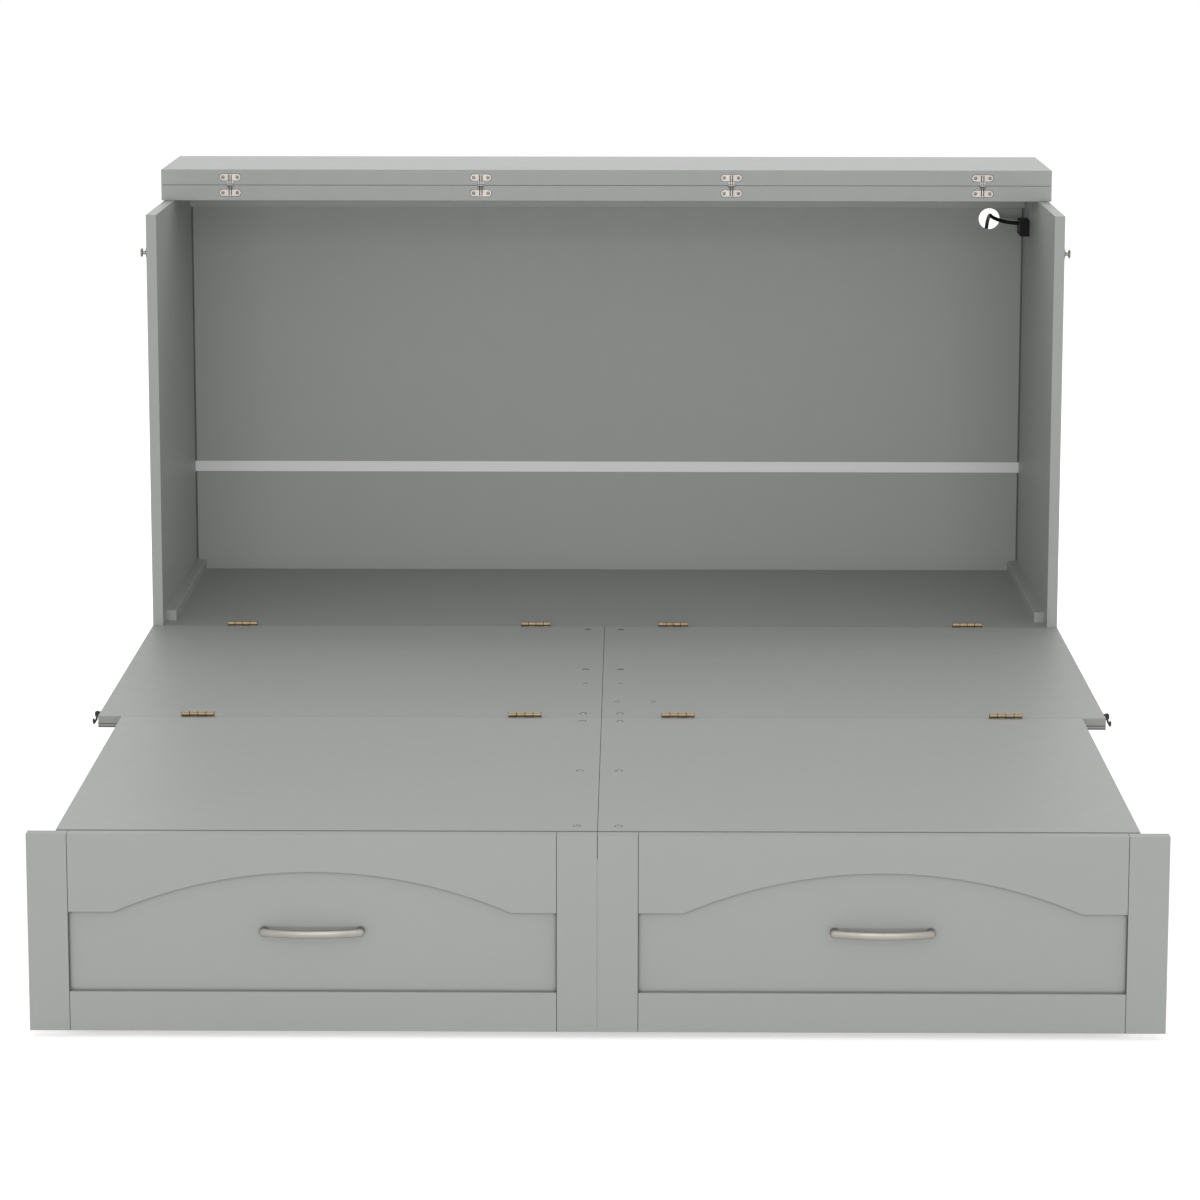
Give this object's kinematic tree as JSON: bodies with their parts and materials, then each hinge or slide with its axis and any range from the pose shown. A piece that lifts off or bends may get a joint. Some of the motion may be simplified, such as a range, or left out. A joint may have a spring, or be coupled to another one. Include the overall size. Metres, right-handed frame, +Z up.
{
  "type": "cabinet bed",
  "caption": "Cabinet bed shown open: a gray chest with a folded-back lid, a platform that folds out in sections, and arched drawer fronts at the foot.",
  "frame": {"origin": "on the floor, at the middle of the bed's length and width, without the charger's cord", "axes": "+X to the right seen from the foot, +Y from the foot to the head, +Z up"},
  "size_m": [1.65, 2.2209, 1.0972],
  "materials": {
    "gray_painted_board": "satin gray paint on board",
    "gray_hardboard": "satin gray coated hardboard",
    "plain_wood": "clear-coated pine and plywood",
    "white_plastic": "extruded white plastic",
    "dark_plastic": "black plastic",
    "wheel_plastic": "dark nylon",
    "zinc_steel": "zinc-plated steel",
    "dark_steel": "dark oxide steel wire",
    "brushed_nickel": "brushed nickel",
    "brass": "lacquered brass"
  },
  "bodies": {
    "cabinet": {"left_side_panel": "gray_painted_board", "right_side_panel": "gray_painted_board", "upper_back_panel": "gray_hardboard", "lower_back_panel": "gray_hardboard", "back_joining_strip": "white_plastic", "top_back_rail": "gray_painted_board", "fixed_platform": "gray_painted_board", "platform_ledges": "plain_wood", "center_partition": "plain_wood", "side_cleats": "gray_painted_board", "cleat_screws": "zinc_steel", "cabinet_glides": "dark_plastic", "latch_studs": "brushed_nickel", "usb_charger": "dark_plastic", "lid_rear_half": "gray_painted_board", "lid_hinge_fixed_leaves": "brass", "rear_hinge_fixed_leaves": "brass", "charger_cord": "dark_plastic", "charger_cord_coil": "dark_plastic", "charger_plug": "dark_plastic"},
    "lid_front": {"lid_front_half": "gray_painted_board", "lid_hinge_moving_leaves": "brass"},
    "middle_section": {"middle_panel_left": "gray_painted_board", "middle_panel_right": "gray_painted_board", "middle_face_frame": "gray_painted_board", "middle_bolts": "zinc_steel", "rear_hinge_moving_leaves": "brass", "middle_hinge_rear_leaves": "brass", "leg_bracket": "zinc_steel", "leg_catch": "zinc_steel", "hook_pivots": "dark_steel"},
    "foot_section": {"foot_panel_left": "gray_painted_board", "foot_panel_right": "gray_painted_board", "foot_battens": "plain_wood", "foot_bolts": "zinc_steel", "middle_hinge_front_leaves": "brass"},
    "leg": {"support_leg": "gray_painted_board"},
    "left_hook": {"left_hook": "dark_steel"},
    "right_hook": {"right_hook": "dark_steel"},
    "left_drawer": {"left_drawer_front_panel": "gray_painted_board", "left_drawer_stiles": "gray_painted_board", "left_drawer_arched_rail": "gray_painted_board", "left_drawer_bottom_rail": "gray_painted_board", "left_drawer_handle": "brushed_nickel", "left_drawer_box_walls": "plain_wood", "left_drawer_box_bottom": "plain_wood", "left_drawer_caster_forks": "zinc_steel"},
    "right_drawer": {"right_drawer_front_panel": "gray_painted_board", "right_drawer_stiles": "gray_painted_board", "right_drawer_arched_rail": "gray_painted_board", "right_drawer_bottom_rail": "gray_painted_board", "right_drawer_handle": "brushed_nickel", "right_drawer_box_walls": "plain_wood", "right_drawer_box_bottom": "plain_wood", "right_drawer_caster_forks": "zinc_steel"},
    "left_front_wheels": {"left_drawer_front_wheels": "wheel_plastic"},
    "left_rear_wheels": {"left_drawer_rear_wheels": "wheel_plastic"},
    "right_front_wheels": {"right_drawer_front_wheels": "wheel_plastic"},
    "right_rear_wheels": {"right_drawer_rear_wheels": "wheel_plastic"}
  },
  "joints": [
    {"name": "lid_fold", "type": "hinge", "parent": "cabinet", "child": "lid_front", "pos_m": [0, 0.7431, 1.0686], "axis": [1, 0, 0], "range_deg": [0, 180]},
    {"name": "middle_fold", "type": "hinge", "parent": "cabinet", "child": "middle_section", "pos_m": [0, 0.46575, 0.3043], "axis": [-1, 0, 0], "range_deg": [0, 90]},
    {"name": "foot_fold", "type": "hinge", "parent": "middle_section", "child": "foot_section", "pos_m": [0, -0.26475, 0.3043], "axis": [-1, 0, 0], "range_deg": [0, 180]},
    {"name": "leg_fold", "type": "hinge", "parent": "middle_section", "child": "leg", "pos_m": [0, -0.01125, 0.256], "axis": [-1, 0, 0], "range_deg": [0, 90]},
    {"name": "left_hook_turn", "type": "hinge", "parent": "middle_section", "child": "left_hook", "pos_m": [-0.819, -0.22425, 0.294], "axis": [-1, 0, 0], "range_deg": [0, 125.81]},
    {"name": "right_hook_turn", "type": "hinge", "parent": "middle_section", "child": "right_hook", "pos_m": [0.819, -0.22425, 0.294], "axis": [-1, 0, 0], "range_deg": [0, 125.81]},
    {"name": "left_drawer_slide", "type": "slide", "parent": "cabinet", "child": "left_drawer", "axis": [0, 1, 0], "range_m": [0, 1.4592]},
    {"name": "right_drawer_slide", "type": "slide", "parent": "cabinet", "child": "right_drawer", "axis": [0, 1, 0], "range_m": [0, 1.4592]},
    {"name": "left_front_wheels_roll", "type": "hinge", "parent": "left_drawer", "child": "left_front_wheels", "pos_m": [0, -0.93525, 0.02], "axis": [1, 0, 0], "continuous": true},
    {"name": "left_rear_wheels_roll", "type": "hinge", "parent": "left_drawer", "child": "left_rear_wheels", "pos_m": [0, -0.52425, 0.02], "axis": [1, 0, 0], "continuous": true},
    {"name": "right_front_wheels_roll", "type": "hinge", "parent": "right_drawer", "child": "right_front_wheels", "pos_m": [0, -0.93525, 0.02], "axis": [1, 0, 0], "continuous": true},
    {"name": "right_rear_wheels_roll", "type": "hinge", "parent": "right_drawer", "child": "right_rear_wheels", "pos_m": [0, -0.52425, 0.02], "axis": [1, 0, 0], "continuous": true}
  ],
  "couplings": [
    {"joint": "left_drawer_slide", "follows": "middle_fold", "m_per_rad": 0.92895},
    {"joint": "right_drawer_slide", "follows": "middle_fold", "m_per_rad": 0.92895}
  ]
}
